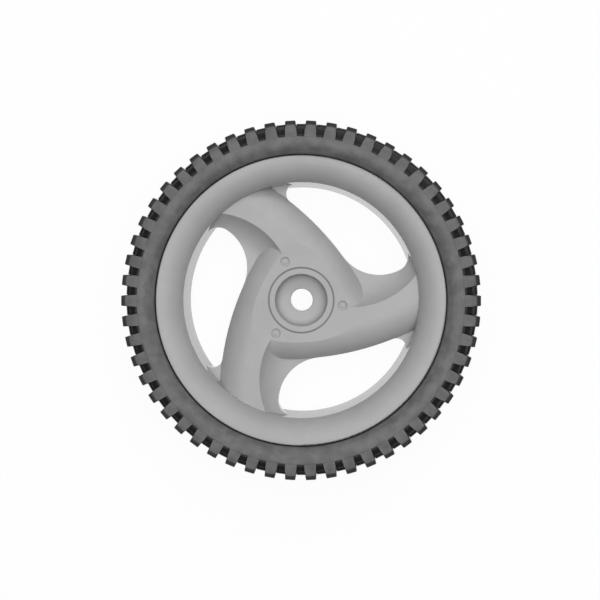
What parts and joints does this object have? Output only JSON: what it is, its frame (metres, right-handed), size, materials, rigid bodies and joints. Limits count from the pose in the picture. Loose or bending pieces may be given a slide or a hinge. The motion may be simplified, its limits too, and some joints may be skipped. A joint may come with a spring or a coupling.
{
  "type": "lawn mower wheel",
  "caption": "Lawn mower wheel: a grey moulded plastic rim with swirl spokes, a recessed hub and an axle bore, inside a black rubber tyre with staggered lugs.",
  "frame": {"origin": "centre of the wheel, on the axle's line and half way across the tyre", "axes": "+Z along the axle, out of the wheel's front; the wheel lies on its back"},
  "size_m": [0.2032, 0.2032, 0.0444],
  "materials": {
    "wheel_plastic": "satin",
    "tyre_rubber": "matte"
  },
  "bodies": {
    "root": {"wheel_rim": "wheel_plastic", "tyre": "tyre_rubber"}
  },
  "joints": []
}
